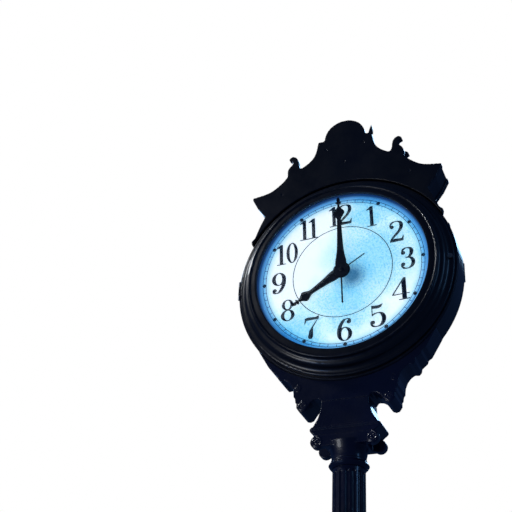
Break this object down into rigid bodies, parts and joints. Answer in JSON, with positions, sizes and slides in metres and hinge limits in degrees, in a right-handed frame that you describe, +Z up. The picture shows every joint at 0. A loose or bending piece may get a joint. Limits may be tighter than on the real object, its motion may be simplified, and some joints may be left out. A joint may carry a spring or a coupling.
{
  "type": "street clock",
  "caption": "Two-faced street clock: round drum with scrolled header and hinged glazed bezels on a scroll bracket, fluted post and square pedestal.",
  "frame": {"origin": "ground level under the middle of the post", "axes": "+Z up, -Y out of the front dial, +X to the right as seen from the front"},
  "size_m": [0.98, 0.56, 4.838],
  "materials": {
    "cast_iron_paint": "gloss black enamel on cast iron",
    "head_paint": "gloss black enamel",
    "steel": "zinc-plated steel",
    "lock_metal": "dull nickel-plated brass",
    "dial_plastic": "translucent white acrylic",
    "dial_print": "black vinyl print",
    "hand_paint": "black painted aluminium",
    "glass": "clear safety glass",
    "rubber": "black rubber",
    "aluminium": "plain aluminium",
    "motor_black": "black moulded housing",
    "brass": "turned brass"
  },
  "bodies": {
    "clock": {"base_gussets": "steel", "base_plate": "steel", "bezel_hinge_ears": "steel", "bezel_hinge_pins": "steel", "capital": "cast_iron_paint", "capital_block": "cast_iron_paint", "cradle": "cast_iron_paint", "cradle_bolts": "steel", "dial_clamps": "steel", "door_hinge_leaves": "steel", "door_hinge_pins": "steel", "drum": "head_paint", "fluted_shaft": "cast_iron_paint", "front_dial": "dial_plastic", "front_header": "head_paint", "front_minute_track": "dial_print", "front_motor": "motor_black", "front_movement": "aluminium", "front_numerals": "dial_print", "header_core": "head_paint", "header_ears": "head_paint", "header_screws": "head_paint", "light_rings": "aluminium", "mast": "steel", "motion_bridges": "aluminium", "movement_spider": "steel", "pedestal": "cast_iron_paint", "pipe_bushes": "brass", "rear_dial": "dial_plastic", "rear_header": "head_paint", "rear_minute_track": "dial_print", "rear_motor": "motor_black", "rear_movement": "aluminium", "rear_numerals": "dial_print", "shaft_collar": "cast_iron_paint"},
    "front_minute": {"front_minute_hand": "hand_paint", "front_hand_cap": "hand_paint", "front_minute_arbor": "brass"},
    "front_hour": {"front_hour_hand": "hand_paint", "front_hour_pipe": "brass"},
    "front_idler": {"front_idler_gear": "brass"},
    "front_door": {"front_bezel": "head_paint", "front_gasket": "rubber", "front_glass": "glass", "front_glass_retainer": "aluminium"},
    "front_lock": {"front_bezel_lock": "lock_metal"},
    "rear_minute": {"rear_minute_hand": "hand_paint", "rear_hand_cap": "hand_paint", "rear_minute_arbor": "brass"},
    "rear_hour": {"rear_hour_hand": "hand_paint", "rear_hour_pipe": "brass"},
    "rear_idler": {"rear_idler_gear": "brass"},
    "rear_door": {"rear_bezel": "head_paint", "rear_gasket": "rubber", "rear_glass": "glass", "rear_glass_retainer": "aluminium"},
    "rear_lock": {"rear_bezel_lock": "lock_metal"},
    "base_door": {"access_door": "cast_iron_paint"},
    "base_lock": {"door_lock": "lock_metal"}
  },
  "joints": [
    {"name": "front_minute_turn", "type": "hinge", "parent": "clock", "child": "front_minute", "pos_m": [0, -0.115, 4], "axis": [0, 1, 0], "continuous": true},
    {"name": "front_hour_turn", "type": "hinge", "parent": "clock", "child": "front_hour", "pos_m": [0, -0.108, 4], "axis": [0, 1, 0], "continuous": true},
    {"name": "front_idler_turn", "type": "hinge", "parent": "clock", "child": "front_idler", "pos_m": [0, -0.07, 3.97], "axis": [0, 1, 0], "continuous": true},
    {"name": "front_door_swing", "type": "hinge", "parent": "clock", "child": "front_door", "pos_m": [-0.4845, -0.068, 4], "axis": [0, 0, -1], "range_deg": [0, 110]},
    {"name": "front_lock_turn", "type": "hinge", "parent": "front_door", "child": "front_lock", "pos_m": [0.461, -0.07, 4], "axis": [0, 1, 0], "range_deg": [0, 90]},
    {"name": "rear_minute_turn", "type": "hinge", "parent": "clock", "child": "rear_minute", "pos_m": [0, 0.115, 4], "axis": [0, -1, 0], "continuous": true},
    {"name": "rear_hour_turn", "type": "hinge", "parent": "clock", "child": "rear_hour", "pos_m": [0, 0.108, 4], "axis": [0, -1, 0], "continuous": true},
    {"name": "rear_idler_turn", "type": "hinge", "parent": "clock", "child": "rear_idler", "pos_m": [0, 0.07, 3.97], "axis": [0, -1, 0], "continuous": true},
    {"name": "rear_door_swing", "type": "hinge", "parent": "clock", "child": "rear_door", "pos_m": [0.4845, 0.068, 4], "axis": [0, 0, -1], "range_deg": [0, 110]},
    {"name": "rear_lock_turn", "type": "hinge", "parent": "rear_door", "child": "rear_lock", "pos_m": [-0.461, 0.07, 4], "axis": [0, -1, 0], "range_deg": [0, 90]},
    {"name": "base_door_swing", "type": "hinge", "parent": "clock", "child": "base_door", "pos_m": [-0.128, -0.206, 0.48], "axis": [0, 0, -1], "range_deg": [0, 120]},
    {"name": "base_lock_turn", "type": "hinge", "parent": "base_door", "child": "base_lock", "pos_m": [0.086, -0.2, 0.48], "axis": [0, 1, 0], "range_deg": [0, 90]}
  ],
  "couplings": [
    {"joint": "front_hour_turn", "follows": "front_minute_turn", "ratio": 0.083333},
    {"joint": "front_idler_turn", "follows": "front_minute_turn", "ratio": -0.33333},
    {"joint": "rear_hour_turn", "follows": "rear_minute_turn", "ratio": 0.083333},
    {"joint": "rear_idler_turn", "follows": "rear_minute_turn", "ratio": -0.33333}
  ]
}
